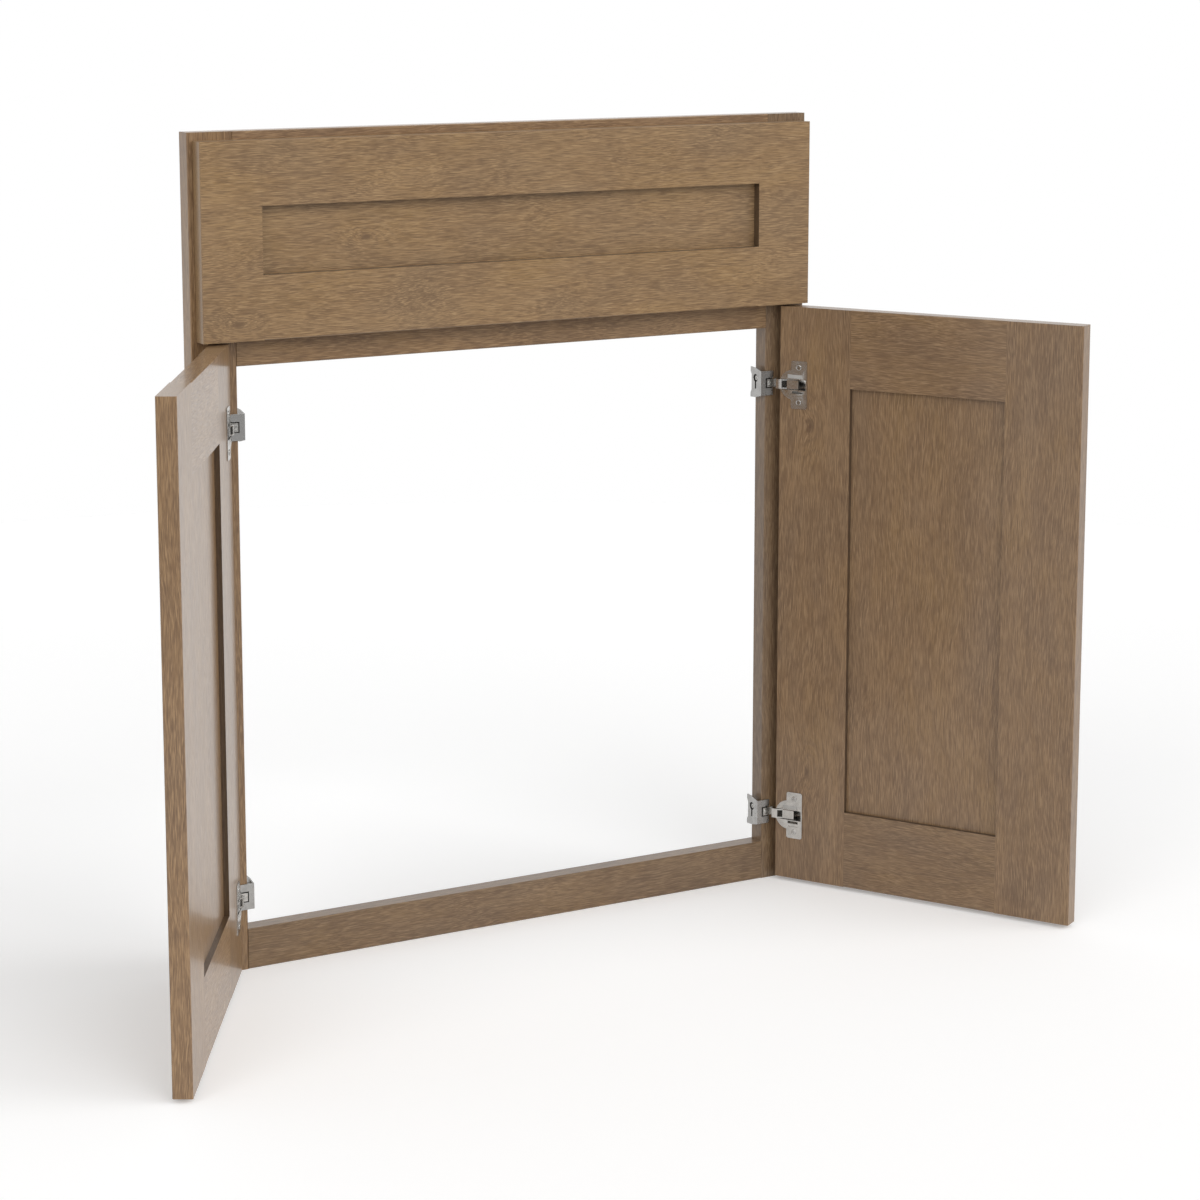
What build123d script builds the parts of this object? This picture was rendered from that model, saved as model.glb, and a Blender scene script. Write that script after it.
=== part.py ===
"""Sink base front for kitchen cabinets: a face frame, a false drawer front and two hinged doors.

Millimetres. The origin is the middle of the face frame's footprint on the floor.
+X runs along the frame, +Y into the room behind it and +Z up, so the front faces -Y.
The doors stand open at 120 degrees, which is the rest position of every joint.

Two local frames keep the two sides alike. The hinge frame has x inward from the frame's outer edge,
y forward from the frame's face and z along the hinge axis. The door frame has its origin on the door's
back corner at the hinge edge, x towards the free edge, y from the back face to the front face.
The left side is the right side turned half a turn about the forward axis, as the hinges really are.

Pins, the bores that turn on them and the hinge cups are round. Screws, their holes and the seats that
pins are pressed into have flat sides, to keep faces few.
"""

import os
from math import atan2, cos, degrees, hypot, radians, sin

from build123d import *

# ---- face frame ----
FRAME_WIDTH = 638.0
FRAME_HEIGHT = 762.0
FRAME_THICK = 17.5
STILE_WIDTH = 42.5
RAIL_HEIGHT = 38.0
MIDDLE_RAIL_BOTTOM = 555.0
TENON_LENGTH = 12.0
TENON_THICK = 7.0
TENON_SHOULDER = 5.0
EASED_EDGE = 0.8
FRONT = -FRAME_THICK / 2
BACK = FRAME_THICK / 2

# ---- doors ----
DOOR_THICK = 17.0
DOOR_WIDTH = 312.5
DOOR_BOTTOM = 4.0
DOOR_TOP = 577.0
DOOR_MEMBER = 76.0
DOOR_REVEAL = 4.8
DOOR_GAP = 3.2
DOOR_SWING = 120.0
OPEN_CORNER = (32.0, 9.2)
PANEL_THICK = 5.0
BACK_RECESS = 5.0
GROOVE_DEPTH = 10.0
PANEL_PLAY = 1.0

# ---- false drawer front ----
DRAWER_BOTTOM = 579.2
DRAWER_TOP = 754.7
DRAWER_REVEAL = 4.8
DRAWER_MEMBER = 57.5
DRAWER_BACK_RECESS = 3.5
FRONT_SCREW_R = 2.0
FRONT_SCREW_HEAD_R = 4.0
FRONT_SCREW_SPACING = 420.0
FRONT_SCREW_BITE = 10.0
FRONT_SCREW_SINK = 3.0
FRONT_SCREW_X = (-FRONT_SCREW_SPACING / 2, FRONT_SCREW_SPACING / 2)
FRONT_SCREW_HEIGHTS = {
    "top": (FRAME_HEIGHT - RAIL_HEIGHT + DRAWER_TOP) / 2,
    "middle": (DRAWER_BOTTOM + MIDDLE_RAIL_BOTTOM + RAIL_HEIGHT) / 2,
}

# ---- flat-sided screws and holes ----
SHANK_SIDES = 8
HEAD_SIDES = 12

# ---- hinges ----
HINGE_HEIGHTS = {"upper": 501.0, "lower": 69.0}
SHEET = 1.4
PLATE_LIFT = 0.3
BRACKET_INSET = 6.0
BRACKET_LAP = 8.0
BRACKET_HALF_HEIGHT = 12.0
WING_HALF_HEIGHT = 15.0
WING_STEP = (8.5, 0.5)
WING_NOTCH = (1.8, 7.5, 10.5)
WINDOW_LAND = 5.4
WINDOW_HALF_HEIGHT = 5.0
ARM_HALF_HEIGHT = 4.6
ARM_SHEET = 1.2
KNUCKLE_R = 1.5
PIN_R = 0.7
PIN_FIT = 0.05
PRESS_FIT = 0.02
CHEEK_THICK = 1.2
LID_TOP = -3.2
LID_THICK = 1.0
LID_NEAR = 10.4
LID_REACH = 8.6
LID_HALF_HEIGHT = 4.3
TONGUE_HALF_HEIGHT = 2.4
TONGUE_GAP = 0.4
FORK_PLAY = 0.3
FORK_SIDE_PLAY = 0.1
FRAME_PIN_INWARD = 31.0
CUP_PIN = (12.0, 2.6)
GOOSENECK_RISE = 4.5
CUP_CENTRE = 15.5
CUP_R = 14.2
CUP_DEPTH = 13.0
CUP_BORE_PLAY = 0.3
CUP_RIM_R = 14.75
FLANGE_NEAR = 13.0
FLANGE_FAR = 30.0
FLANGE_HALF_HEIGHT = 23.5
FLANGE_THICK = 1.0
FLANGE_CORNER = 1.4
FLANGE_SCREW = (21.3, 17.0)
FLANGE_SCREW_R = 1.5
FLANGE_SCREW_LENGTH = 9.5
FLANGE_SCREW_HEAD = (2.7, 0.7)
FLANGE_PILOT_DEPTH = 10.0
CHANNEL_NEAR = 2.4
CHANNEL_FAR = 28.8
CHANNEL_HALF_HEIGHT = 5.1
CHANNEL_DEPTH = 12.2
CUP_PIN_HALF = 6.0
GOOSENECK_RUN = 5.0
DAMPER_MIDDLE = (16.9, 8.1)
DAMPER_SIZE = (15.4, 3.5)
DAMPER_DEPTH = 6.0
SLOT_MIDDLE = (20.0, -7.3)
SLOT_SIZE = (11.2, 2.6)
GROOVE_MIDDLE = (20.4, -11.2)
GROOVE_SIZE = (10.0, 0.8)
GROOVE_SUNK = 0.4
KEYHOLE = (-8.5, 4.5)
KEYHOLE_R = 2.7
KEYHOLE_SLOT = (2.2, 9.0)
KEYHOLE_SLOT_DROP = 6.0
FIXING_R = 1.5
FIXING_LENGTH = 16.0
FIXING_HEAD = (2.0, 0.6)
BASE_DEPTH = 13.0
BASE_HALF_HEIGHT = 9.0
BASE_CORNER = 1.6
BLOCK_OUTER = 35.6
BLOCK_INNER = 41.9
BLOCK_THICK = 1.9
BLOCK_HALF_HEIGHT = 3.9
SLAB_THICK = 0.8
CAM_INWARD = 39.4
CAM_R = 2.2
CAM_THICK = 0.6
CAM_FLOOR = 0.2
CAM_SLOT = 0.7
CAM_TURN = 35.0

RIGHT, LEFT = 1, -1
SIDES = {"right": RIGHT, "left": LEFT}


# ---- hinge geometry, worked out in the hinge frame ----
def turned(point, angle):
    """A plan point turned about the origin by an angle in degrees."""
    c, s = cos(radians(angle)), sin(radians(angle))
    return point[0] * c - point[1] * s, point[0] * s + point[1] * c


open_cup_pin = turned(CUP_PIN, DOOR_SWING)
CUP_PIN_OPEN = (OPEN_CORNER[0] + open_cup_pin[0], OPEN_CORNER[1] + open_cup_pin[1])
CUP_PIN_CLOSED = (DOOR_REVEAL + CUP_PIN[0], DOOR_GAP + CUP_PIN[1])

# The frame pin is as far from the cup pin with the door open as with it closed.
middle = ((CUP_PIN_OPEN[0] + CUP_PIN_CLOSED[0]) / 2, (CUP_PIN_OPEN[1] + CUP_PIN_CLOSED[1]) / 2)
travel = (CUP_PIN_OPEN[0] - CUP_PIN_CLOSED[0], CUP_PIN_OPEN[1] - CUP_PIN_CLOSED[1])
FRAME_PIN = (FRAME_PIN_INWARD, middle[1] - (FRAME_PIN_INWARD - middle[0]) * travel[0] / travel[1])
LEVER_LENGTH = hypot(CUP_PIN_OPEN[0] - FRAME_PIN[0], CUP_PIN_OPEN[1] - FRAME_PIN[1])
LEVER_OPEN = degrees(atan2(CUP_PIN_OPEN[1] - FRAME_PIN[1], CUP_PIN_OPEN[0] - FRAME_PIN[0]))


# ---- planes ----
def on(base, inner):
    """A plane given in the local frame of another plane."""
    return Plane(base.location * inner.location)


def hinge_frame(side, height):
    return Plane(origin=(side * FRAME_WIDTH / 2, FRONT, height), x_dir=(-side, 0, 0), z_dir=(0, 0, side))


def door_frame(side, height):
    direction = (*turned((1, 0), DOOR_SWING), 0)
    return on(hinge_frame(side, height), Plane(origin=(*OPEN_CORNER, 0), x_dir=direction, z_dir=(0, 0, 1)))


def lever_frame(side, height):
    direction = (*turned((1, 0), LEVER_OPEN), 0)
    return on(hinge_frame(side, height), Plane(origin=(*FRAME_PIN, 0), x_dir=direction, z_dir=(0, 0, 1)))


def start_height(side, low, high):
    """Height where an extrusion along the local z axis starts, so that it fills low to high."""
    return low if side == RIGHT else high


def save(piece, name):
    piece.part.label = name
    export_step(piece.part, f"parts/{name}.step")


def cut_holes(plane, spots, radius, depth, sides=SHANK_SIDES):
    """Flat-sided holes in the part being built, cut from a plane along its normal."""
    with BuildSketch(plane) as holes:
        with Locations(*spots):
            RegularPolygon(radius, sides)
    extrude(to_extrude=holes.sketch, amount=depth, mode=Mode.SUBTRACT)


os.makedirs("parts", exist_ok=True)

# ---- face frame: two stiles, three rails with tenons in blind mortises ----
rail_bottoms = {
    "top": FRAME_HEIGHT - RAIL_HEIGHT,
    "middle": MIDDLE_RAIL_BOTTOM,
    "bottom": 0.0,
}
opening_width = FRAME_WIDTH - 2 * STILE_WIDTH
tenon_height = RAIL_HEIGHT - 2 * TENON_SHOULDER

for name, side in SIDES.items():
    with BuildPart() as stile:
        with BuildSketch(Plane.XY):
            with Locations((side * (FRAME_WIDTH - STILE_WIDTH) / 2, 0)):
                Rectangle(STILE_WIDTH, FRAME_THICK)
        extrude(amount=FRAME_HEIGHT)
        chamfer(stile.faces().sort_by(Axis.Y)[0].edges().filter_by(Axis.Z), EASED_EDGE)
        with Locations(*[(side * (opening_width + TENON_LENGTH) / 2, 0, z + RAIL_HEIGHT / 2)
                         for z in rail_bottoms.values()]):
            Box(TENON_LENGTH, TENON_THICK, tenon_height, mode=Mode.SUBTRACT)
        for height in HINGE_HEIGHTS.values():
            inner_edge = on(hinge_frame(side, height), Plane.YZ.offset(STILE_WIDTH))
            cut_holes(inner_edge, [KEYHOLE], FIXING_R + PIN_FIT, -FIXING_LENGTH)
    save(stile, f"frame_{name}_stile")

for name, bottom in rail_bottoms.items():
    with BuildPart() as rail:
        with Locations((0, 0, bottom + RAIL_HEIGHT / 2)):
            Box(opening_width, FRAME_THICK, RAIL_HEIGHT)
        chamfer(rail.faces().sort_by(Axis.Y)[0].edges().filter_by(Axis.X), EASED_EDGE)
        with Locations((0, 0, bottom + RAIL_HEIGHT / 2)):
            Box(opening_width + 2 * TENON_LENGTH, TENON_THICK, tenon_height)
        if name in FRONT_SCREW_HEIGHTS:
            spots = [(x, FRONT_SCREW_HEIGHTS[name]) for x in FRONT_SCREW_X]
            back_face = Plane.XZ.offset(-BACK)
            cut_holes(back_face, spots, FRONT_SCREW_HEAD_R + PIN_FIT, FRONT_SCREW_SINK, HEAD_SIDES)
            cut_holes(back_face, spots, FRONT_SCREW_R + PIN_FIT, FRAME_THICK)
    save(rail, f"frame_{name}_rail")

# ---- members of the framed fronts ----
def member_outline(width, back_recess):
    """Section across a member: x from its outer edge to its grooved inner edge, y from back to front."""
    front_lip = back_recess + PANEL_THICK
    with BuildSketch() as outline:
        with BuildLine():
            Polyline((0, 0), (width, 0), (width, back_recess), (width - GROOVE_DEPTH, back_recess),
                     (width - GROOVE_DEPTH, front_lip), (width, front_lip), (width, DOOR_THICK),
                     (0, DOOR_THICK), close=True)
        make_face()
        chamfer(outline.vertices().group_by(Axis.X)[0], EASED_EDGE)
    return outline.sketch


def member(plane, outline, length, tongue=None):
    """A member run along its plane's normal, with a tongue at both ends where it is a rail."""
    with BuildPart() as piece:
        with BuildSketch(plane):
            add(outline)
        extrude(amount=length)
        if tongue:
            low, width = tongue
            with BuildSketch(plane.offset(-GROOVE_DEPTH)):
                with Locations((0, low)):
                    Rectangle(width, PANEL_THICK, align=(Align.MIN, Align.MIN))
            extrude(amount=length + 2 * GROOVE_DEPTH)
    return piece


# ---- false drawer front: two long rails, two ends and a panel in their grooves ----
drawer_length = FRAME_WIDTH - 2 * DRAWER_REVEAL
drawer_height = DRAWER_TOP - DRAWER_BOTTOM
drawer_outline = member_outline(DRAWER_MEMBER, DRAWER_BACK_RECESS)
drawer_inner_length = drawer_length - 2 * DRAWER_MEMBER
drawer_tongue = (DRAWER_BACK_RECESS, DRAWER_MEMBER - GROOVE_DEPTH)

for name, side in SIDES.items():
    end_plane = Plane(origin=(side * drawer_length / 2, FRONT, start_height(side, DRAWER_BOTTOM, DRAWER_TOP)),
                      x_dir=(-side, 0, 0), z_dir=(0, 0, side))
    save(member(end_plane, drawer_outline, drawer_height), f"drawer_front_{name}_end")

for name, fixed_to, edge, up in (("bottom", "middle", DRAWER_BOTTOM, 1), ("top", "top", DRAWER_TOP, -1)):
    rail_plane = Plane(origin=(-up * drawer_inner_length / 2, FRONT, edge),
                       x_dir=(0, 0, up), z_dir=(up, 0, 0))
    plain_rail = member(rail_plane, drawer_outline, drawer_inner_length, drawer_tongue)
    with BuildPart() as rail:
        add(plain_rail.part)
        spots = [(x, FRONT_SCREW_HEIGHTS[fixed_to]) for x in FRONT_SCREW_X]
        cut_holes(Plane.XZ.offset(-FRONT), spots, FRONT_SCREW_R + PIN_FIT, FRONT_SCREW_BITE)
    save(rail, f"drawer_front_{name}_rail")

with BuildPart() as drawer_panel:
    with Locations((0, FRONT - DRAWER_BACK_RECESS - PANEL_THICK / 2, (DRAWER_BOTTOM + DRAWER_TOP) / 2)):
        Box(drawer_inner_length + 2 * (GROOVE_DEPTH - PANEL_PLAY), PANEL_THICK,
            drawer_height - 2 * DRAWER_MEMBER + 2 * (GROOVE_DEPTH - PANEL_PLAY))
save(drawer_panel, "drawer_front_panel")


# ---- screws: a head and a plain shank, each group in one node ----
def headed_screws(places, shank_r, shank_length, head):
    """Flat-headed screws: each plane lies under the head, its normal pointing out of the head."""
    head_r, head_thick = head
    with BuildPart() as group:
        for place in places:
            with BuildSketch(place):
                RegularPolygon(shank_r, SHANK_SIDES)
            extrude(amount=-shank_length)
            with BuildSketch(place):
                RegularPolygon(head_r, HEAD_SIDES)
            extrude(amount=head_thick)
    return group


# The front screws go through the frame's rails from behind, their heads sunk below the back face.
front_places = [Plane(origin=(x, BACK - FRONT_SCREW_SINK, z), x_dir=(1, 0, 0), z_dir=(0, 1, 0))
                for x in FRONT_SCREW_X for z in FRONT_SCREW_HEIGHTS.values()]
front_shank = FRAME_THICK - FRONT_SCREW_SINK + FRONT_SCREW_BITE - PIN_FIT
front_head = (FRONT_SCREW_HEAD_R, FRONT_SCREW_SINK - PIN_FIT)
save(headed_screws(front_places, FRONT_SCREW_R, front_shank, front_head), "drawer_front_screws")


# ---- doors: built on the right, mirrored to the left ----
def save_pair(piece, name):
    save(piece, f"right_{name}")
    with BuildPart() as twin:
        add(piece.part)
        mirror(about=Plane.YZ, mode=Mode.REPLACE)
    save(twin, f"left_{name}")


door_height = DOOR_TOP - DOOR_BOTTOM
door_outline = member_outline(DOOR_MEMBER, BACK_RECESS)
door_inner_width = DOOR_WIDTH - 2 * DOOR_MEMBER
door_tongue = (BACK_RECESS, DOOR_MEMBER - GROOVE_DEPTH)
door_base = door_frame(RIGHT, DOOR_BOTTOM)

flange_screws = [(FLANGE_SCREW[0], -FLANGE_SCREW[1]), FLANGE_SCREW]
plain_stile = member(door_base, door_outline, door_height)
with BuildPart() as hinge_stile:
    add(plain_stile.part)
    for height in HINGE_HEIGHTS.values():
        back_face = on(door_frame(RIGHT, height), Plane.XZ)
        with BuildSketch(back_face):
            with Locations((CUP_CENTRE, 0)):
                Circle(CUP_R + PIN_FIT)
        extrude(amount=-CUP_DEPTH - CUP_BORE_PLAY, mode=Mode.SUBTRACT)
        cut_holes(back_face, flange_screws, FLANGE_SCREW_R + PIN_FIT, -FLANGE_PILOT_DEPTH)
save_pair(hinge_stile, "door_hinge_stile")

free_plane = on(door_base, Plane(origin=(DOOR_WIDTH, 0, door_height), x_dir=(-1, 0, 0), z_dir=(0, 0, -1)))
save_pair(member(free_plane, door_outline, door_height), "door_free_stile")

for name, edge, start, up in (("bottom", 0, DOOR_WIDTH - DOOR_MEMBER, 1),
                              ("top", door_height, DOOR_MEMBER, -1)):
    rail_plane = on(door_base, Plane(origin=(start, 0, edge), x_dir=(0, 0, up), z_dir=(-up, 0, 0)))
    save_pair(member(rail_plane, door_outline, door_inner_width, door_tongue), f"door_{name}_rail")

with BuildPart() as door_panel:
    with BuildSketch(on(door_base, Plane.XZ.offset(-BACK_RECESS))):
        with Locations((DOOR_WIDTH / 2, door_height / 2)):
            Rectangle(door_inner_width + 2 * (GROOVE_DEPTH - PANEL_PLAY),
                      door_height - 2 * DOOR_MEMBER + 2 * (GROOVE_DEPTH - PANEL_PLAY))
    extrude(amount=-PANEL_THICK)
save_pair(door_panel, "door_panel")


# ---- hinge pieces, each in the local frame of what carries it ----
def hinge_bracket(base):
    """Folded sheet: a front plate with a window, and a winged side plate with a keyhole."""
    fold = STILE_WIDTH + BRACKET_INSET
    front = PLATE_LIFT + SHEET
    step_depth, step_rise = WING_STEP
    notch_depth, notch_low, notch_high = WING_NOTCH
    notch = notch_depth - FRAME_THICK
    upper_edge = [(front, BRACKET_HALF_HEIGHT), (-step_depth, WING_HALF_HEIGHT - step_rise),
                  (-FRAME_THICK, WING_HALF_HEIGHT), (-FRAME_THICK, notch_high), (notch, notch_low)]
    lower_edge = [(x, -y) for x, y in reversed(upper_edge)]
    with BuildPart() as bracket:
        with BuildSketch(on(base, Plane.YZ.offset(fold - SHEET))):
            with BuildLine():
                Polyline(*upper_edge, *lower_edge, close=True)
            make_face()
            with Locations(KEYHOLE):
                RegularPolygon(KEYHOLE_R, HEAD_SIDES, mode=Mode.SUBTRACT)
            with Locations((KEYHOLE[0], KEYHOLE[1] - KEYHOLE_SLOT_DROP)):
                Rectangle(*KEYHOLE_SLOT, mode=Mode.SUBTRACT)
        extrude(amount=SHEET)
        with BuildSketch(on(base, Plane.XZ.offset(-front))):
            with Locations((fold - SHEET / 2, 0)):
                Rectangle(BRACKET_INSET + BRACKET_LAP - SHEET / 2, 2 * BRACKET_HALF_HEIGHT,
                          align=(Align.MAX, Align.CENTER))
            with Locations((fold - WINDOW_LAND, 0)):
                Rectangle(BRACKET_LAP + BRACKET_INSET, 2 * WINDOW_HALF_HEIGHT,
                          align=(Align.MAX, Align.CENTER), mode=Mode.SUBTRACT)
        extrude(amount=SHEET)
    return bracket


def hinge_base(base):
    """Spacer block between the bracket and the stile's inner edge, drilled for the fixing screw."""
    with BuildPart() as block:
        stile_edge = on(base, Plane.YZ.offset(STILE_WIDTH))
        with BuildSketch(stile_edge) as outline:
            with Locations((-FRAME_THICK / 2, 0)):
                Rectangle(BASE_DEPTH, 2 * BASE_HALF_HEIGHT)
            chamfer(outline.vertices(), BASE_CORNER)
        extrude(amount=BRACKET_INSET - SHEET)
        cut_holes(stile_edge, [KEYHOLE], FIXING_R + PIN_FIT, BRACKET_INSET - SHEET)
    return block


def hinge_arm(base):
    """Arm on a slab let into the bracket's window, turned forward into a knuckle at the frame pin."""
    x, y = FRAME_PIN
    inner = STILE_WIDTH + BRACKET_INSET - WINDOW_LAND
    with BuildPart() as arm:
        with BuildSketch(base):
            with Locations((BLOCK_OUTER, 0)):
                Rectangle(inner - BLOCK_OUTER, SLAB_THICK, align=(Align.MIN, Align.MIN))
        extrude(amount=WINDOW_HALF_HEIGHT, both=True)
        with BuildSketch(base):
            with Locations((BLOCK_OUTER, 0)):
                Rectangle(BLOCK_INNER - BLOCK_OUTER, PLATE_LIFT + BLOCK_THICK, align=(Align.MIN, Align.MIN))
            with Locations((x + KNUCKLE_R, PLATE_LIFT)):
                Rectangle(BLOCK_INNER - x - KNUCKLE_R, ARM_SHEET, align=(Align.MIN, Align.MIN))
        extrude(amount=BLOCK_HALF_HEIGHT, both=True)
        with BuildSketch(base):
            with Locations((x + KNUCKLE_R, PLATE_LIFT)):
                Rectangle(ARM_SHEET, y - KNUCKLE_R - PLATE_LIFT - TONGUE_GAP, align=(Align.MAX, Align.MIN))
        extrude(amount=ARM_HALF_HEIGHT, both=True)
        with BuildSketch(base):
            with Locations((x + KNUCKLE_R, PLATE_LIFT)):
                Rectangle(ARM_SHEET, y - PLATE_LIFT, align=(Align.MAX, Align.MIN))
            with Locations(FRAME_PIN):
                RegularPolygon(KNUCKLE_R, HEAD_SIDES)
                RegularPolygon(PIN_R + PRESS_FIT, HEAD_SIDES, major_radius=False, mode=Mode.SUBTRACT)
        extrude(amount=TONGUE_HALF_HEIGHT, both=True)
    return arm


def hinge_lever(base):
    """Lever forked on the frame pin, bent round the door's corner, with cheeks to the cup pin and a lid."""
    with BuildPart() as lever:
        with BuildSketch(base):
            with BuildLine():
                Polyline((0, 0), (0, -GOOSENECK_RISE), (GOOSENECK_RUN, -GOOSENECK_RISE), (LEVER_LENGTH, 0))
                offset(amount=ARM_SHEET / 2, kind=Kind.INTERSECTION)
            make_face()
            with BuildLine():
                Polyline((LEVER_LENGTH, 0), (LID_NEAR, LID_TOP + LID_THICK),
                         (LEVER_LENGTH + LID_REACH / 2, LID_TOP + LID_THICK), close=True)
            make_face()
            with Locations((0, 0), (LEVER_LENGTH, 0)):
                RegularPolygon(KNUCKLE_R, HEAD_SIDES)
                Circle(PIN_R + PIN_FIT, mode=Mode.SUBTRACT)
        extrude(amount=ARM_HALF_HEIGHT, both=True)
        with BuildSketch(base):
            Rectangle(2 * (KNUCKLE_R + FORK_PLAY), 2 * (KNUCKLE_R + FORK_PLAY))
        extrude(amount=TONGUE_HALF_HEIGHT + FORK_SIDE_PLAY, both=True, mode=Mode.SUBTRACT)
        with BuildSketch(base):
            with Locations((GOOSENECK_RUN + ARM_SHEET / 2, 0)):
                Rectangle(LEVER_LENGTH + LID_REACH, 3 * GOOSENECK_RISE, align=(Align.MIN, Align.CENTER))
        extrude(amount=ARM_HALF_HEIGHT - CHEEK_THICK, both=True, mode=Mode.SUBTRACT)
        with BuildSketch(base):
            with Locations((LID_NEAR, LID_TOP)):
                Rectangle(LEVER_LENGTH + LID_REACH - LID_NEAR, LID_THICK, align=(Align.MIN, Align.MIN))
        extrude(amount=LID_HALF_HEIGHT, both=True)
    return lever


def hinge_cup(base):
    """Round cup with a screwed flange, a channel where arm and lever nest, and a pocket for the damper."""
    back = on(base, Plane.XZ)
    channel_middle = (CHANNEL_NEAR + CHANNEL_FAR) / 2
    with BuildPart() as cup:
        with BuildSketch(back) as flange:
            with Locations(((FLANGE_NEAR + FLANGE_FAR) / 2, 0)):
                Rectangle(FLANGE_FAR - FLANGE_NEAR, 2 * FLANGE_HALF_HEIGHT)
            chamfer(flange.vertices(), FLANGE_CORNER)
            with Locations((CUP_CENTRE, 0)):
                Circle(CUP_RIM_R)
        extrude(amount=FLANGE_THICK)
        cut_holes(back, flange_screws, FLANGE_SCREW_R + PIN_FIT, FLANGE_THICK)
        with BuildSketch(back):
            with Locations((CUP_CENTRE, 0)):
                Circle(CUP_R)
        extrude(amount=-CUP_DEPTH)
        with BuildSketch(back.offset(FLANGE_THICK)):
            with Locations((channel_middle, 0)):
                Rectangle(CHANNEL_FAR - CHANNEL_NEAR, 2 * CHANNEL_HALF_HEIGHT)
        extrude(amount=-FLANGE_THICK - CHANNEL_DEPTH, mode=Mode.SUBTRACT)
        with BuildSketch(back.offset(FLANGE_THICK)):
            with Locations(DAMPER_MIDDLE):
                Rectangle(*DAMPER_SIZE)
            with Locations(SLOT_MIDDLE):
                Rectangle(*SLOT_SIZE)
        extrude(amount=-FLANGE_THICK - DAMPER_DEPTH, mode=Mode.SUBTRACT)
        with BuildSketch(back.offset(FLANGE_THICK)):
            with Locations(GROOVE_MIDDLE):
                Rectangle(*GROOVE_SIZE)
        extrude(amount=-GROOVE_SUNK, mode=Mode.SUBTRACT)
        with BuildSketch(base):
            with Locations(CUP_PIN):
                RegularPolygon(PIN_R + PRESS_FIT, HEAD_SIDES, major_radius=False)
        extrude(amount=CUP_PIN_HALF, both=True, mode=Mode.SUBTRACT)
    return cup


def hinge_damper(base):
    """Closing damper in its pocket beside the channel, its lid level with the flange."""
    with BuildPart() as damper:
        with BuildSketch(on(base, Plane.XZ.offset(FLANGE_THICK))):
            with Locations(DAMPER_MIDDLE):
                Rectangle(*DAMPER_SIZE)
        extrude(amount=-FLANGE_THICK - DAMPER_DEPTH)
    return damper


def pins(places, half):
    """One straight pin at each plane's origin, all in one node."""
    with BuildPart() as group:
        for place in places:
            with BuildSketch(place):
                Circle(PIN_R)
            extrude(amount=half, both=True)
    return group


fixing_places = []
cam_places = []
arm_pin_places = []
for side_name, side in SIDES.items():
    cup_pin_places = []
    cup_screw_places = []
    for level, height in HINGE_HEIGHTS.items():
        on_frame = hinge_frame(side, height)
        on_door = door_frame(side, height)
        name = f"{side_name}_{level}_hinge"
        save(hinge_base(on_frame), f"{name}_base")
        save(hinge_bracket(on_frame), f"{name}_bracket")
        save(hinge_arm(on_frame), f"{name}_arm")
        save(hinge_lever(lever_frame(side, height)), f"{name}_lever")
        save(hinge_cup(on_door), f"{name}_cup")
        save(hinge_damper(on_door), f"{name}_damper")
        base_face = on(on_frame, Plane.YZ.offset(STILE_WIDTH + BRACKET_INSET - SHEET))
        fixing_places.append(on(base_face, Plane(origin=(*KEYHOLE, 0))))
        block_face = Plane(origin=(CAM_INWARD, PLATE_LIFT + BLOCK_THICK, 0), x_dir=(1, 0, 0), z_dir=(0, 1, 0))
        cam_places.append(on(on_frame, block_face))
        arm_pin_places.append(on(on_frame, Plane(origin=(*FRAME_PIN, 0))))
        cup_pin_places.append(on(on_door, Plane(origin=(*CUP_PIN, 0))))
        flange_face = on(on_door, Plane.XZ.offset(FLANGE_THICK))
        for spot in flange_screws:
            cup_screw_places.append(on(flange_face, Plane(origin=(*spot, 0))))
    save(pins(cup_pin_places, CUP_PIN_HALF), f"{side_name}_cup_pins")
    save(headed_screws(cup_screw_places, FLANGE_SCREW_R, FLANGE_SCREW_LENGTH, FLANGE_SCREW_HEAD),
         f"{side_name}_cup_screws")

save(pins(arm_pin_places, ARM_HALF_HEIGHT), "frame_pins")
save(headed_screws(fixing_places, FIXING_R, FIXING_LENGTH, FIXING_HEAD), "bracket_screws")

# ---- cam screws on the arms' blocks, slotted ----
with BuildPart() as cams:
    for place in cam_places:
        with BuildSketch(place):
            RegularPolygon(CAM_R, HEAD_SIDES)
            Rectangle(CAM_SLOT, 2 * CAM_R, rotation=CAM_TURN, mode=Mode.SUBTRACT)
        extrude(amount=CAM_THICK)
        with BuildSketch(place):
            RegularPolygon(CAM_R, HEAD_SIDES)
        extrude(amount=CAM_FLOOR)
save(cams, "cam_screws")
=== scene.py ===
# A sink base front with two open doors: a stained face frame, a false drawer front above,
# two framed doors on hidden cup hinges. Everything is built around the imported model.
import math
import bmesh
import bpy
from mathutils import Matrix, Vector


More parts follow.
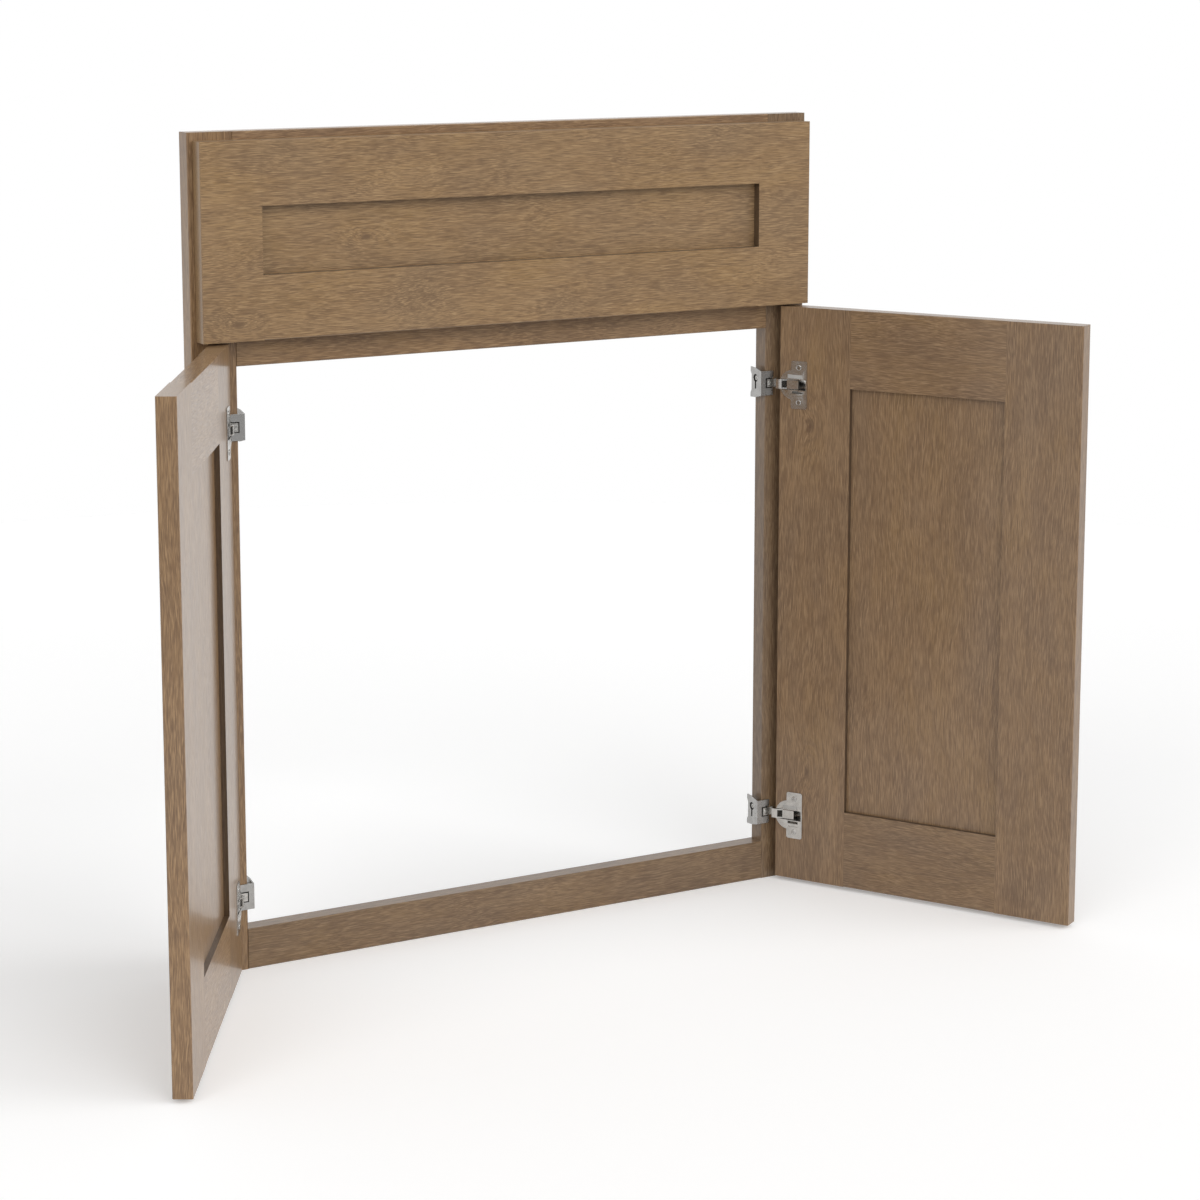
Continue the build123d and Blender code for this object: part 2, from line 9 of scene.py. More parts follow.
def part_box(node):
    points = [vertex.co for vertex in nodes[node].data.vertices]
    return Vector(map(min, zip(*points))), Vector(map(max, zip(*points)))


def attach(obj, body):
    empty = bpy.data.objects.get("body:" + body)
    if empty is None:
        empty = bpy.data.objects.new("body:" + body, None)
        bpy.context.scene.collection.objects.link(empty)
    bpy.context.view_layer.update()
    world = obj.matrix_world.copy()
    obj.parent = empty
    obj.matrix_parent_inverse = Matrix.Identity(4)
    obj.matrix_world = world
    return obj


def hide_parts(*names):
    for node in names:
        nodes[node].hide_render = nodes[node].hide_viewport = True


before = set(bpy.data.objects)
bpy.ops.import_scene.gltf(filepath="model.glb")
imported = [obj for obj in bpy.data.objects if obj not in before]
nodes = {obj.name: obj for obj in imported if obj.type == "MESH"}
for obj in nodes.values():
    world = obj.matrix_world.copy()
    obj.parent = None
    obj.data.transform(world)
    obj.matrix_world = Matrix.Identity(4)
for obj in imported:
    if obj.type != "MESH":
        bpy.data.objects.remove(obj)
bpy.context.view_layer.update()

# ---- camera ----
# It stands left of the front at the height of a person's chest and looks slightly down,
# with a long lens and a little lens shift, so that the uprights stay nearly parallel.
LOOKS_DOWN = 9.62
LOOKS_RIGHT = 29.46
camera = bpy.data.objects.new("camera", bpy.data.cameras.new("camera"))
camera.location = (-1.2935, -2.4607, 0.9217)
camera.rotation_euler = (math.radians(90 - LOOKS_DOWN), 0, math.radians(-LOOKS_RIGHT))
camera.data.lens = 90.42
camera.data.sensor_width = 36
camera.data.shift_y = -0.12
bpy.context.scene.collection.objects.link(camera)
bpy.context.scene.camera = camera

# ---- face frame: stiles ----
# Two upright boards of solid wood, stained a warm taupe brown and lacquered, with eased
# front edges. The rails' tenons are glued into mortises in their inner edges.


def socket(group, name, kind, way="INPUT"):
    """One named socket on a shader group."""
    return group.interface.new_socket(name=name, in_out=way, socket_type=kind)


def stretched_noise(tree, source, along, across, detail, roughness):
    """Noise drawn out along the grain, with so many features to a metre along and across."""
    scaled = tree.nodes.new("ShaderNodeVectorMath")
    scaled.operation = "MULTIPLY"
    scaled.inputs[1].default_value = (along, across, across)
    noise = tree.nodes.new("ShaderNodeTexNoise")
    noise.inputs["Scale"].default_value = 1.0
    noise.inputs["Detail"].default_value = detail
    noise.inputs["Roughness"].default_value = roughness
    tree.links.new(source, scaled.inputs[0])
    tree.links.new(scaled.outputs[0], noise.inputs["Vector"])
    return noise.outputs["Fac"]


def ranged(tree, source, low, high, to_low=0.0, to_high=1.0):
    """A value taken from one range to another, and kept inside it."""
    node = tree.nodes.new("ShaderNodeMapRange")
    node.inputs["From Min"].default_value = low
    node.inputs["From Max"].default_value = high
    node.inputs["To Min"].default_value = to_low
    node.inputs["To Max"].default_value = to_high
    tree.links.new(source, node.inputs["Value"])
    return node.outputs["Result"]


def maths(tree, operation, first, second=0.0):
    """A sum on two values, each a number or another node's output."""
    node = tree.nodes.new("ShaderNodeMath")
    node.operation = operation
    for place, value in enumerate((first, second)):
        if isinstance(value, (int, float)):
            node.inputs[place].default_value = value
        else:
            tree.links.new(value, node.inputs[place])
    return node.outputs[0]


def tinted(tree, mask, under, over):
    """The under colour, with the over colour laid on it by a mask."""
    node = tree.nodes.new("ShaderNodeMix")
    node.data_type = "RGBA"
    tree.links.new(mask, node.inputs["Factor"])
    for place, value in ((6, under), (7, over)):
        if isinstance(value, tuple):
            node.inputs[place].default_value = value
        else:
            tree.links.new(value, node.inputs[place])
    return node.outputs[2]


KNOT_SQUEEZE = (30.0, 62.0, 62.0)
KNOT_REACH = 1.6


def knot_field(tree, source, centre):
    """One at a knot's heart, falling to nothing at the edge of an oval drawn out along the grain."""
    away = tree.nodes.new("ShaderNodeVectorMath")
    away.operation = "SUBTRACT"
    tree.links.new(source, away.inputs[0])
    tree.links.new(centre, away.inputs[1])
    oval = tree.nodes.new("ShaderNodeVectorMath")
    oval.operation = "MULTIPLY"
    oval.inputs[1].default_value = KNOT_SQUEEZE
    distance = tree.nodes.new("ShaderNodeVectorMath")
    distance.operation = "LENGTH"
    tree.links.new(away.outputs[0], oval.inputs[0])
    tree.links.new(oval.outputs[0], distance.inputs[0])
    return ranged(tree, distance.outputs["Value"], 0.0, KNOT_REACH, 1.0, 0.0)


grain = bpy.data.node_groups.new("stained_wood_grain", "ShaderNodeTree")
for name, kind in (("Vector", "NodeSocketVector"), ("Stain", "NodeSocketColor"),
                   ("Dark", "NodeSocketColor"), ("Light", "NodeSocketColor"),
                   ("Warm", "NodeSocketColor"), ("Cool", "NodeSocketColor"),
                   ("Figure", "NodeSocketFloat"), ("Knot", "NodeSocketVector"),
                   ("Second Knot", "NodeSocketVector")):
    socket(grain, name, kind)
socket(grain, "Color", "NodeSocketColor", "OUTPUT")
socket(grain, "Roughness", "NodeSocketFloat", "OUTPUT")
socket(grain, "Height", "NodeSocketFloat", "OUTPUT")
inside = grain.nodes.new("NodeGroupInput")
outside = grain.nodes.new("NodeGroupOutput")
board_place = inside.outputs["Vector"]

# The fibres wander a little and are pushed aside near a knot, by so many metres, so everything
# fine is drawn on bent coordinates.
WANDER = 0.0045
KNOT_PUSH = 0.006
knot = maths(grain, "MAXIMUM", knot_field(grain, board_place, inside.outputs["Knot"]),
             knot_field(grain, board_place, inside.outputs["Second Knot"]))
knot_core = maths(grain, "POWER", knot, 2.0)
wander = stretched_noise(grain, board_place, along=6.0, across=16.0, detail=1.5, roughness=0.5)
wander = ranged(grain, wander, 0.2, 0.8, -WANDER, WANDER)
pushed = maths(grain, "ADD", wander, maths(grain, "MULTIPLY", knot_core, KNOT_PUSH))
bend = grain.nodes.new("ShaderNodeVectorMath")
bend.operation = "MULTIPLY_ADD"
bend.inputs[1].default_value = (0.0, 1.0, 1.0)
bend_amount = grain.nodes.new("ShaderNodeCombineXYZ")
for axis in (1, 2):
    grain.links.new(pushed, bend_amount.inputs[axis])
grain.links.new(bend_amount.outputs[0], bend.inputs[0])
grain.links.new(board_place, bend.inputs[2])
bent = bend.outputs[0]

# Growth rings are cut into soft arches, which close round a knot where the board has one.
RING_COUNT = 95.0
KNOT_RINGS = 0.24
KNOT_CONTRAST = 0.22
ring_field = stretched_noise(grain, board_place, along=2.6, across=19.0, detail=1.0, roughness=0.4)
ring_field = maths(grain, "ADD", ring_field, maths(grain, "MULTIPLY", knot_core, KNOT_RINGS))
rings = ranged(grain, maths(grain, "SINE", maths(grain, "MULTIPLY", ring_field, RING_COUNT)), 0.0, 1.0)
ring_contrast = maths(grain, "ADD", inside.outputs["Figure"], maths(grain, "MULTIPLY", knot, KNOT_CONTRAST))

# The stain takes yellower in some places and greyer in others, and soaks in unevenly in broad
# patches. Over that come the fine fibres, dark pores and light flecks a few millimetres long.
cast = stretched_noise(grain, bent, along=10.0, across=24.0, detail=2.0, roughness=0.5)
patches = stretched_noise(grain, bent, along=8.0, across=30.0, detail=2.5, roughness=0.55)
fibres = stretched_noise(grain, bent, along=60.0, across=1800.0, detail=2.0, roughness=0.6)
pores = stretched_noise(grain, bent, along=80.0, across=2000.0, detail=1.0, roughness=0.5)
flecks = stretched_noise(grain, bent, along=75.0, across=1900.0, detail=1.0, roughness=0.5)


def laid(color, layers):
    """A colour with layers of stain on it, each by a mask: it starts, is full, and how strong it is."""
    for mask, start, full, strength, stain in layers:
        color = tinted(grain, ranged(grain, mask, start, full, 0.0, strength), color, inside.outputs[stain])
    return color


color = laid(inside.outputs["Stain"], ((cast, 0.5, 0.72, 0.75, "Warm"),
                                       (cast, 0.5, 0.3, 0.75, "Cool")))
color = tinted(grain, maths(grain, "MULTIPLY", rings, ring_contrast), color, inside.outputs["Dark"])
color = laid(color, ((patches, 0.5, 0.76, 0.38, "Dark"),
                     (patches, 0.5, 0.25, 0.25, "Light"),
                     (fibres, 0.5, 0.70, 0.8, "Dark"),
                     (fibres, 0.5, 0.30, 0.75, "Light"),
                     (pores, 0.56, 0.72, 0.75, "Dark"),
                     (flecks, 0.56, 0.72, 0.7, "Light"),
                     (knot, 0.86, 0.96, 0.8, "Dark")))
grain.links.new(color, outside.inputs["Color"])
grain.links.new(ranged(grain, pores, 0.3, 0.75, 0.3, 0.42), outside.inputs["Roughness"])
grain.links.new(maths(grain, "SUBTRACT", fibres, pores), outside.inputs["Height"])

STAINS = {
    "Stain": (0.252, 0.150, 0.075),
    "Dark": (0.140, 0.082, 0.046),
    "Light": (0.415, 0.270, 0.145),
    "Warm": (0.290, 0.172, 0.074),
    "Cool": (0.220, 0.139, 0.080),
}
FIGURE = 0.24
GRAIN_DEPTH = 0.0001
GRAIN_STRENGTH = 0.1
NO_KNOT = (50, 50, 50)
# Painted shade: a near-black brown laid on the boards round a panel at their recess wall, where shade falls
# in the corner.
RECESS_SHADE_COLOR = (0.040, 0.025, 0.015, 1)
RECESS_SHADE_START = 0.00008
RECESS_SHADE_FULL = 0.00002
RECESS_SHADE_STRENGTH = 0.75


def stained_wood(name, turn, shift, tone=(1.0, 1.0, 1.0), knots=(NO_KNOT, NO_KNOT), rim=None):
    """One board's material: turn lays the grain along the board, shift cuts it from another place.

    The rim is the board's edge round a panel, where painted shade darkens the wood at the recess wall: a
    direction and how far out it is."""
    material = bpy.data.materials.new(name)
    material.use_nodes = True
    tree = material.node_tree
    shader = tree.nodes["Principled BSDF"]
    coordinates = tree.nodes.new("ShaderNodeTexCoord")
    mapping = tree.nodes.new("ShaderNodeMapping")
    mapping.inputs["Rotation"].default_value = turn
    mapping.inputs["Location"].default_value = shift
    board = tree.nodes.new("ShaderNodeGroup")
    board.node_tree = grain
    for key, stain in STAINS.items():
        board.inputs[key].default_value = (*[part * share for part, share in zip(stain, tone)], 1)
    board.inputs["Figure"].default_value = FIGURE
    for key, knot_place in zip(("Knot", "Second Knot"), knots):
        board.inputs[key].default_value = [knot_place[axis] + shift[axis] for axis in range(3)]
    bump = tree.nodes.new("ShaderNodeBump")
    bump.inputs["Strength"].default_value = GRAIN_STRENGTH
    bump.inputs["Distance"].default_value = GRAIN_DEPTH
    tree.links.new(coordinates.outputs["Object"], mapping.inputs["Vector"])
    tree.links.new(mapping.outputs["Vector"], board.inputs["Vector"])
    color = board.outputs["Color"]
    # Painted shade: the wood goes dark at the board's rim, on the recess wall round the panel.
    if rim:
        direction, reach = rim
        out = tree.nodes.new("ShaderNodeVectorMath")
        out.operation = "DOT_PRODUCT"
        out.inputs[1].default_value = direction
        tree.links.new(coordinates.outputs["Object"], out.inputs[0])
        recess_shade = ranged(tree, out.outputs["Value"], reach - RECESS_SHADE_START, reach - RECESS_SHADE_FULL,
                        0.0, RECESS_SHADE_STRENGTH)
        color = tinted(tree, recess_shade, color, RECESS_SHADE_COLOR)
    tree.links.new(color, shader.inputs["Base Color"])
    tree.links.new(board.outputs["Roughness"], shader.inputs["Roughness"])
    tree.links.new(board.outputs["Height"], bump.inputs["Height"])
    tree.links.new(bump.outputs["Normal"], shader.inputs["Normal"])
    shader.inputs["Specular IOR Level"].default_value = 0.3
    shader.inputs["Coat Weight"].default_value = 0.35
    shader.inputs["Coat Roughness"].default_value = 0.13
    return material


def dress(node, material):
    """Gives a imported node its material."""
    nodes[node].data.materials.clear()
    nodes[node].data.materials.append(material)


UPRIGHT = (0, math.radians(90), 0)
# Painted shade: the right stile is painted darker and greyer, for the open right door's shade on it, and the
# left stile a little darker.
dress("frame_left_stile",
      stained_wood("frame_left_stile_wood", UPRIGHT, (0.3, 1.1, 0.2), tone=(0.95, 0.95, 0.95)))
dress("frame_right_stile",
      stained_wood("frame_right_stile_wood", UPRIGHT, (2.3, 0.4, 1.2), tone=(0.70, 0.74, 0.82)))

# ---- face frame: rails ----
# Three cross boards of the same wood, their grain along their length, with a tenon at each
# end that is glued between the stiles. The middle one is painted a little darker, as painted shade under the
# drawer front, and the bottom one darker and greyer, as painted shade.
LEVEL = (0, 0, 0)
RAIL_SHADE_TONES = {"top": (1.0, 1.0, 1.0), "middle": (0.92, 0.92, 0.90), "bottom": (0.76, 0.79, 0.84)}
for number, (place, tone) in enumerate(RAIL_SHADE_TONES.items()):
    node = f"frame_{place}_rail"
    cut_from = (3.1 + number, 0.7 * number, 0.3)
    dress(node, stained_wood(node + "_wood", LEVEL, cut_from, tone=tone))

# ---- false drawer front ----
# Rails, ends and a flat panel in their grooves, whose grain all runs level, so the joints
# hardly show. A small knot sits low on the left, and a smaller one on the panel.
DRAWER_KNOT = (-0.281, -0.0258, 0.594)
PANEL_KNOT = (-0.153, -0.0172, 0.665)
DRAWER_CUT_FROM = (0.35, 0.12, 0.83)
DRAWER_TONE = (1.0, 1.02, 0.98)


def rim_of(node, direction):
    """The furthest that a packed board reaches in a direction, as the rim that stained_wood wants."""
    direction = Vector(direction)
    return direction, max(vert.co.dot(direction) for vert in nodes[node].data.vertices)


DRAWER_RIMS = {"top_rail": (0, 0, -1), "bottom_rail": (0, 0, 1), "left_end": (1, 0, 0),
               "right_end": (-1, 0, 0), "panel": None}
for place, direction in DRAWER_RIMS.items():
    node = "drawer_front_" + place
    dress(node, stained_wood(node + "_wood", LEVEL, DRAWER_CUT_FROM, tone=DRAWER_TONE,
                             knots=(DRAWER_KNOT, PANEL_KNOT), rim=direction and rim_of(node, direction)))

# ---- doors ----
# Each has two full-height stiles, two rails between them and a flat panel in their grooves,
# with the grain along every board. The right door's hinge stile has two knots.
DOOR_TURN = {"right": math.radians(60), "left": math.radians(120)}
DOOR_TONES = {"right": (0.87, 0.89, 0.94), "left": (1.0, 1.0, 1.0)}
# Painted shade: two boards are painted darker, the right door's bottom rail, and the left door's hinge stile
# where its hinge flanges shade it.
SHADED_BOARDS = {"right_door_bottom_rail": 0.9, "left_door_hinge_stile": 0.88}
STILE_KNOT_X, STILE_KNOT_Y = 0.304, -0.048
STILE_KNOT_HEIGHTS = (0.462, 0.115)
for number, (side, turn) in enumerate(DOOR_TURN.items()):
    across = Vector((math.cos(turn), -math.sin(turn), 0))
    inward = {"hinge_stile": across, "free_stile": -across, "top_rail": (0, 0, -1), "bottom_rail": (0, 0, 1)}
    boards = [(board, UPRIGHT, (1.7 * place + number, 0.9 + place, 0.6))
              for place, board in enumerate(("hinge_stile", "free_stile", "panel"))]
    boards += [(board, (0, 0, turn), (4.4 + place, number + 0.5, 0.2 * place))
               for place, board in enumerate(("top_rail", "bottom_rail"))]
    for board, laid_along, cut_from in boards:
        node = f"{side}_door_{board}"
        knots = (NO_KNOT, NO_KNOT)
        if node == "right_door_hinge_stile":
            # Given as the upright grain has them, turned a quarter about Y.
            knots = [(height, STILE_KNOT_Y, -STILE_KNOT_X) for height in STILE_KNOT_HEIGHTS]
        tone = [part * SHADED_BOARDS.get(node, 1.0) for part in DOOR_TONES[side]]
        dress(node, stained_wood(node + "_wood", laid_along, cut_from, tone=tone, knots=knots,
                                 rim=board in inward and rim_of(node, inward[board])))

# ---- cup hinges: bases, brackets, arms, levers and cups ----
# Pressed and die-cast steel, plated in satin nickel. The floor of the arm's window and the base's face behind
# the keyhole are painted near black, as painted shade. The cup is screwed to the door, and the bracket
# through its keyhole to the stile.


def plated(name, color, roughness, metallic=1.0):
    """A plated metal: its sheen varies a little, as handling and the plating bath leave it."""
    material = bpy.data.materials.new(name)
    material.use_nodes = True
    tree = material.node_tree
    shader = tree.nodes["Principled BSDF"]
    place = tree.nodes.new("ShaderNodeTexCoord").outputs["Object"]
    clouds = stretched_noise(tree, place, along=160.0, across=160.0, detail=2.0, roughness=0.5)
    grit = stretched_noise(tree, place, along=2600.0, across=2600.0, detail=1.0, roughness=0.5)
    darker = tuple(part * 0.86 for part in color)
    tree.links.new(tinted(tree, ranged(tree, clouds, 0.35, 0.7), (*color, 1), (*darker, 1)),
                   shader.inputs["Base Color"])
    tree.links.new(ranged(tree, clouds, 0.3, 0.7, roughness * 0.85, roughness * 1.2),
                   shader.inputs["Roughness"])
    bump = tree.nodes.new("ShaderNodeBump")
    bump.inputs["Strength"].default_value = 0.02
    bump.inputs["Distance"].default_value = 0.00002
    tree.links.new(grit, bump.inputs["Height"])
    tree.links.new(bump.outputs["Normal"], shader.inputs["Normal"])
    shader.inputs["Metallic"].default_value = metallic
    return material


nickel = plated("satin_nickel", (0.53, 0.515, 0.49), 0.22)
sheet_nickel = plated("sheet_nickel", (0.42, 0.412, 0.40), 0.26)
# Painted shade: a near-black steel for the hollows in the hinges where shade falls.
painted_shade_steel = plated("painted_shade_steel", (0.05, 0.047, 0.043), 0.5)

SHARP_TURN = math.radians(35)
FLAT_TURN = math.radians(1)
WELD = 0.000001


def merged(node):
    """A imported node's mesh with its loose triangles joined into flat faces."""
    shape = bmesh.new()
    shape.from_mesh(nodes[node].data)
    bmesh.ops.remove_doubles(shape, verts=shape.verts, dist=WELD)
    bmesh.ops.dissolve_limit(shape, angle_limit=FLAT_TURN, verts=shape.verts, edges=shape.edges)
    return shape


def islands(node):
    """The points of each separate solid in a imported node."""
    shape = merged(node)
    shape.verts.index_update()
    seen = set()
    groups = []
    for start in shape.verts:
        if start.index in seen:
            continue
        seen.add(start.index)
        waiting = [start]
        points = []
        while waiting:
            vert = waiting.pop()
            points.append(vert.co.copy())
            for edge in vert.link_edges:
                other = edge.other_vert(vert)
                if other.index not in seen:
                    seen.add(other.index)
                    waiting.append(other)
        groups.append(points)
    shape.free()
    return groups


def middle_of(points):
    """The mean place of some points."""
    return sum(points, Vector()) / len(points)


def stand_for(node, shape, suffix, body, material):
    """Makes a piece from a bmesh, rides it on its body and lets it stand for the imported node."""
    piece = bpy.data.objects.new(node + suffix, bpy.data.meshes.new(node + suffix))
    shape.to_mesh(piece.data)
    shape.free()
    piece.data.shade_smooth()
    piece.data.set_sharp_from_angle(angle=SHARP_TURN)
    piece.data.materials.append(material)
    bpy.context.scene.collection.objects.link(piece)
    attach(piece, body)
    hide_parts(node)
    return piece


def ease(piece, width):
    """Rounds a piece's sharp edges over."""
    bevel = piece.modifiers.new("eased edges", "BEVEL")
    bevel.width = width
    bevel.segments = 2
    bevel.limit_method = "ANGLE"
    bevel.angle_limit = SHARP_TURN
    bevel.harden_normals = True


def cut_out(piece, shape):
    """Takes a shape out of a piece."""
    cutter = bpy.data.objects.new("cutter", bpy.data.meshes.new("cutter"))
    shape.to_mesh(cutter.data)
    shape.free()
    bpy.context.scene.collection.objects.link(cutter)
    cut = piece.modifiers.new("opening", "BOOLEAN")
    cut.object = cutter
    cut.solver = "EXACT"
    bpy.context.view_layer.update()
    finished = bpy.data.meshes.new_from_object(piece.evaluated_get(bpy.context.evaluated_depsgraph_get()))
    piece.modifiers.clear()
    piece.data = finished
    bpy.data.objects.remove(cutter)


ON_PLANE = 0.00002


def paint_shade(piece, axis, place):
    """Paints the faces on one plane of a piece near black, as painted shade where light doesn't reach."""
    piece.data.materials.append(painted_shade_steel)
    for face in piece.data.polygons:
        if all(abs(piece.data.vertices[corner].co[axis] - place) < ON_PLANE for corner in face.vertices):
            face.material_index = 1


EASED = 0.00016
WINDOW_FLOOR = -0.00955
KEYHOLE_R = 0.0038
KEYHOLE_SIDES = 32
KEYHOLE_DEPTH = 0.02
fixings = [middle_of(points) for points in islands("bracket_screws")]
for side in ("right", "left"):
    for level in ("upper", "lower"):
        for part, body, metal in (("base", "frame", sheet_nickel), ("bracket", "frame", sheet_nickel),
                                  ("arm", "frame", nickel), ("lever", side + "_levers", nickel),
                                  ("cup", side + "_door", nickel)):
            node = f"{side}_{level}_hinge_{part}"
            low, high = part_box(node)
            piece = stand_for(node, merged(node), "_plated", body, metal)
            if part == "bracket":
                fixing = min(fixings, key=lambda spot: (spot - (low + high) / 2).length)
                keyhole = bmesh.new()
                bmesh.ops.create_cone(
                    keyhole, cap_ends=True, segments=KEYHOLE_SIDES, radius1=KEYHOLE_R, radius2=KEYHOLE_R,
                    depth=KEYHOLE_DEPTH,
                    matrix=Matrix.Translation(fixing) @ Matrix.Rotation(math.pi / 2, 4, "Y"))
                cut_out(piece, keyhole)
                piece.data.set_sharp_from_angle(angle=SHARP_TURN)
            # Painted shade: the floor of the arm's window, and the base's face behind the keyhole, go near
            # black.
            if part == "arm":
                paint_shade(piece, 1, WINDOW_FLOOR)
            if part == "base":
                paint_shade(piece, 0, min(low[0], high[0], key=abs))
            ease(piece, EASED)

# ---- cup hinges: dampers ----
# A moulded grey cartridge that slows the door as it closes. It is clipped into its pocket in
# the cup, beside the lever's channel.
damper_grey = plated("damper_grey", (0.42, 0.41, 0.39), 0.4, 0.0)
for side in ("right", "left"):
    for level in ("upper", "lower"):
        node = f"{side}_{level}_hinge_damper"
        ease(stand_for(node, merged(node), "_cartridge", side + "_door", damper_grey), EASED)

# ---- cup hinges: pins ----
# Bright drawn steel wire, pressed into the arms' knuckles and the cups' walls. The levers
# turn on both.
pin_steel = plated("pin_steel", (0.50, 0.49, 0.47), 0.18)
for node in ("frame_pins", "right_cup_pins", "left_cup_pins"):
    dress(node, pin_steel)

# ---- cup hinges: screws ----
# Pan-headed steel screws with a cross recess in the flanges and brackets, and slotted cams on
# the arms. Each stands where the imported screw's head is.
screw_steel = plated("screw_steel", (0.46, 0.45, 0.43), 0.2)
HEAD_CORNERS = 40
HEAD_ROUNDING = 0.7
SHANK_CORNERS = 20
SHANK_TIP = 0.3
ON_TOP = 0.00001


def bar_shape(size, turn):
    """A bar lying across the top of a screw's head."""
    shape = bmesh.new()
    bmesh.ops.create_cube(shape, size=1.0, matrix=Matrix.Rotation(turn, 4, "Z") @ Matrix.Diagonal((*size, 1)))
    return shape


def screw(head_r, head_thick, shank_r, shank_length, bars, turn):
    """One screw on the origin, the top of its head at zero and its shank down -Z, as a mesh.

    Its recess is cut by bars, each square to the last, with a length, a width and twice its depth."""
    shape = bmesh.new()
    bmesh.ops.create_cone(shape, cap_ends=True, segments=HEAD_CORNERS, radius1=head_r, radius2=head_r,
                          depth=head_thick, matrix=Matrix.Translation((0, 0, -head_thick / 2)))
    rim = [edge for edge in shape.edges if all(vert.co.z > -head_thick / 4 for vert in edge.verts)]
    bmesh.ops.bevel(shape, geom=rim, offset=head_thick * HEAD_ROUNDING, segments=4, profile=0.5,
                    affect="EDGES", material=-1)
    head = bpy.data.objects.new("screw", bpy.data.meshes.new("screw"))
    shape.to_mesh(head.data)
    shape.free()
    bpy.context.scene.collection.objects.link(head)
    for number, size in enumerate(bars):
        cut_out(head, bar_shape(size, turn + number * math.pi / 2))
    shape = bmesh.new()
    shape.from_mesh(head.data)
    bmesh.ops.create_cone(shape, cap_ends=True, segments=SHANK_CORNERS, radius1=shank_r * SHANK_TIP,
                          radius2=shank_r, depth=shank_length,
                          matrix=Matrix.Translation((0, 0, -head_thick - shank_length / 2)))
    bpy.data.objects.remove(head)
    mesh = bpy.data.meshes.new("screw")
    shape.to_mesh(mesh)
    shape.free()
    return mesh


def head_top(points, axis):
    """The middle of a solid's outermost face along an axis."""
    reach = max(point.dot(axis) for point in points)
    return middle_of([point for point in points if reach - point.dot(axis) < ON_TOP])


def stand_screws(node, mesh, body, facing):
    """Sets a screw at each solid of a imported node, its head towards facing(middle of the solid)."""
    shape = bmesh.new()
    for points in islands(node):
        axis = facing(middle_of(points)).normalized()
        stand = Matrix.Translation(head_top(points, axis)) @ axis.to_track_quat("Z", "Y").to_matrix().to_4x4()
        one = bmesh.new()
        one.from_mesh(mesh)
        one.transform(stand)
        placed = bpy.data.meshes.new("placed screw")
        one.to_mesh(placed)
        one.free()
        shape.from_mesh(placed)
        bpy.data.meshes.remove(placed)
    stand_for(node, shape, "_turned", body, screw_steel)


CROSS = ((0.0026, 0.0006, 0.0008), (0.0026, 0.0006, 0.0008))
SLOT = ((0.0042, 0.0007, 0.0007),)
flange_screw = screw(head_r=0.0027, head_thick=0.0007, shank_r=0.0015, shank_length=0.0094,
                     bars=CROSS, turn=math.radians(20))
fixing_screw = screw(head_r=0.0024, head_thick=0.0006, shank_r=0.0015, shank_length=0.0159,
                     bars=CROSS, turn=math.radians(30))
cam_screw = screw(head_r=0.0022, head_thick=0.0006, shank_r=0.0010, shank_length=0.0008,
                  bars=SLOT, turn=math.radians(35))
for side, sign in (("right", -1), ("left", 1)):
    door_back = sign * Vector((math.sin(DOOR_TURN[side]), math.cos(DOOR_TURN[side]), 0))
    stand_screws(side + "_cup_screws", flange_screw, side + "_door", lambda middle: door_back)
stand_screws("bracket_screws", fixing_screw, "frame", lambda middle: Vector((-middle.x, 0, 0)))
stand_screws("cam_screws", cam_screw, "frame", lambda middle: Vector((0, -1, 0)))

# ---- drawer front screws ----
# Four steel wood screws that hold the false front. They are driven through the frame's rails
# from behind, with their heads sunk below the back face.
dress("drawer_front_screws", screw_steel)

# ---- floor and light ----
# A white studio with three wide lamps and a pale round floor that keeps their soft shadow. The
# white surround is dim where the camera stands, so that the nickel has something to mirror.
FLOOR_RADIUS = 2.2
FLOOR_COLOR = (0.9, 0.9, 0.9, 1)
FLOOR_LIFT = 0.23
floor_mesh = bmesh.new()
bmesh.ops.create_circle(floor_mesh, cap_ends=True, segments=96, radius=FLOOR_RADIUS)
floor = bpy.data.objects.new("floor", bpy.data.meshes.new("floor"))
floor_mesh.to_mesh(floor.data)
floor_mesh.free()
bpy.context.scene.collection.objects.link(floor)
floor_white = bpy.data.materials.new("floor_white")
floor_white.use_nodes = True
floor_tree = floor_white.node_tree
floor_shader = floor_tree.nodes["Principled BSDF"]
floor_shader.inputs["Base Color"].default_value = FLOOR_COLOR
floor_shader.inputs["Roughness"].default_value = 0.9
floor_shader.inputs["Specular IOR Level"].default_value = 0.1
floor_shader.inputs["Emission Color"].default_value = (1, 1, 1, 1)
floor_path = floor_tree.nodes.new("ShaderNodeLightPath")
seen_or_mirrored = maths(floor_tree, "MAXIMUM", floor_path.outputs["Is Camera Ray"],
                         floor_path.outputs["Is Glossy Ray"])
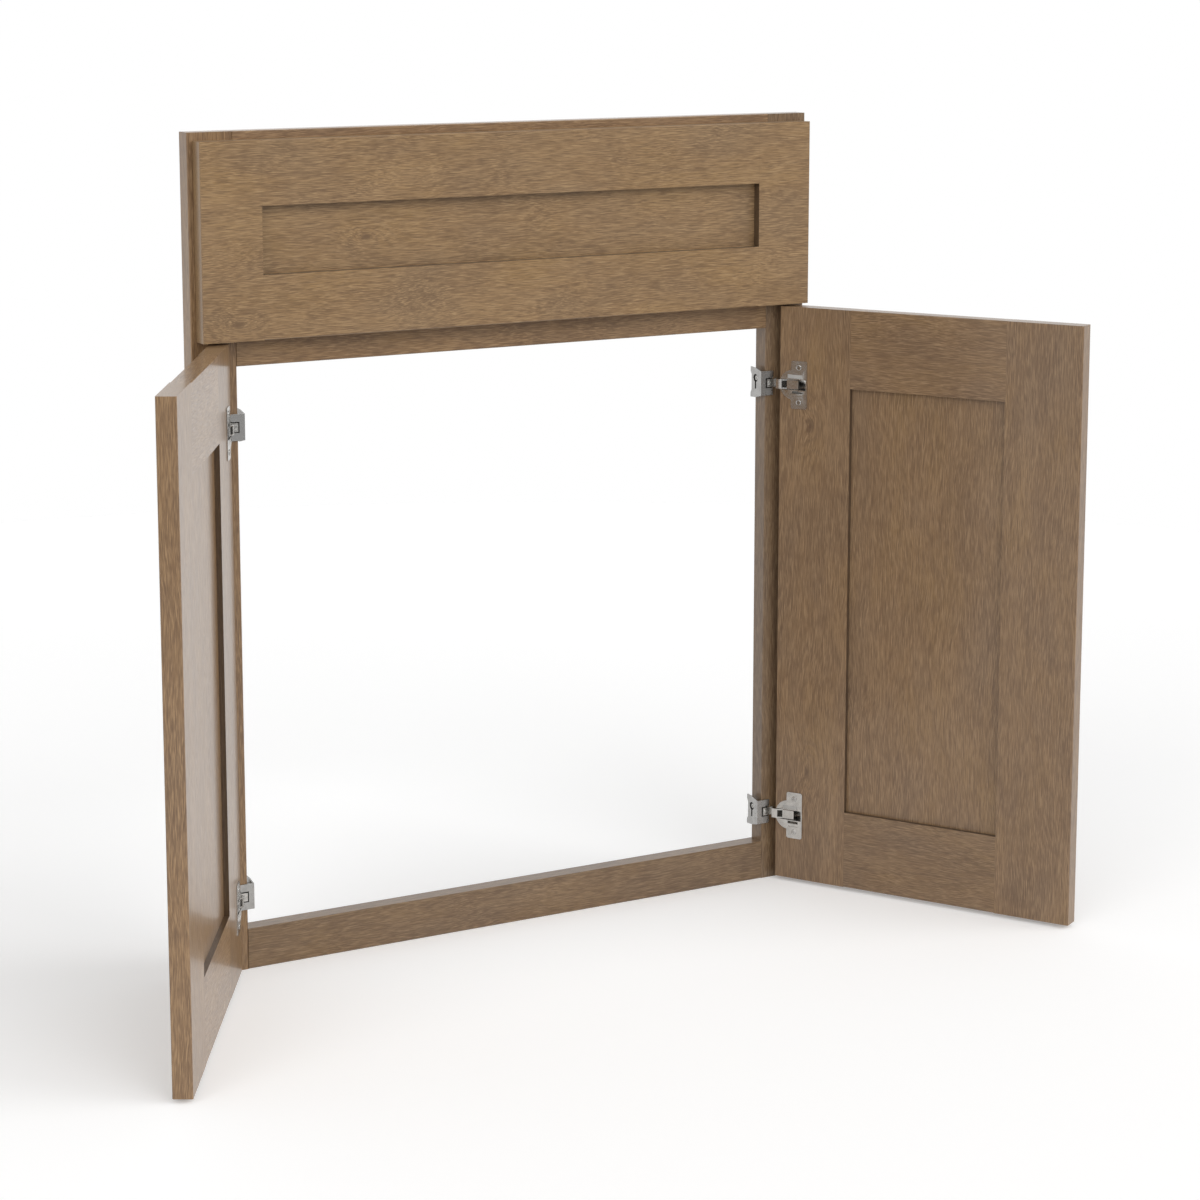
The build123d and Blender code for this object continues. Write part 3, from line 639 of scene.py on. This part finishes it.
floor_tree.links.new(maths(floor_tree, "MULTIPLY", seen_or_mirrored, FLOOR_LIFT),
                     floor_shader.inputs["Emission Strength"])
floor.data.materials.append(floor_white)

AMBIENT = 0.5
WHITE = 1.0
DIM = 0.45
DIM_UP_TO = -0.75
WHITE_FROM = -0.25
world = bpy.data.worlds.new("studio")
bpy.context.scene.world = world
world.use_nodes = True
room = world.node_tree
soft_light = room.nodes["Background"]
mirrored = room.nodes.new("ShaderNodeBackground")
seen = room.nodes.new("ShaderNodeBackground")
for light, strength in ((soft_light, AMBIENT), (mirrored, WHITE), (seen, WHITE)):
    light.inputs["Color"].default_value = (1, 1, 1, 1)
    light.inputs["Strength"].default_value = strength
toward = room.nodes.new("ShaderNodeSeparateXYZ")
room.links.new(room.nodes.new("ShaderNodeTexCoord").outputs["Generated"], toward.inputs[0])
room.links.new(ranged(room, toward.outputs["Y"], DIM_UP_TO, WHITE_FROM, DIM, WHITE),
               mirrored.inputs["Strength"])


def shown_to(rays, others, light):
    """One light for the rays of one kind, over the light that all others get."""
    choice = room.nodes.new("ShaderNodeMixShader")
    for place, link in enumerate((rays, others, light)):
        room.links.new(link, choice.inputs[place])
    return choice.outputs[0]


light_path = room.nodes.new("ShaderNodeLightPath")
around = shown_to(light_path.outputs["Is Glossy Ray"], soft_light.outputs[0], mirrored.outputs[0])
around = shown_to(light_path.outputs["Is Camera Ray"], around, seen.outputs[0])
room.links.new(around, room.nodes["World Output"].inputs["Surface"])

LAMP_SPREAD = math.radians(40)


def wide_sun(name, place, strength):
    """Even light from one side of the room, as a large lamp far off gives."""
    lamp = bpy.data.objects.new(name, bpy.data.lights.new(name, "SUN"))
    lamp.data.energy = strength
    lamp.data.angle = LAMP_SPREAD
    lamp.rotation_euler = (-Vector(place)).to_track_quat("-Z", "Y").to_euler()
    bpy.context.scene.collection.objects.link(lamp)


wide_sun("left_light", (-1.6, -1.0, 0.9), 0.72)
wide_sun("front_light", (0.2, -2.0, 1.2), 0.85)
wide_sun("right_light", (1.6, -1.2, 1.2), 0.85)

bpy.context.scene.view_settings.view_transform = "Standard"
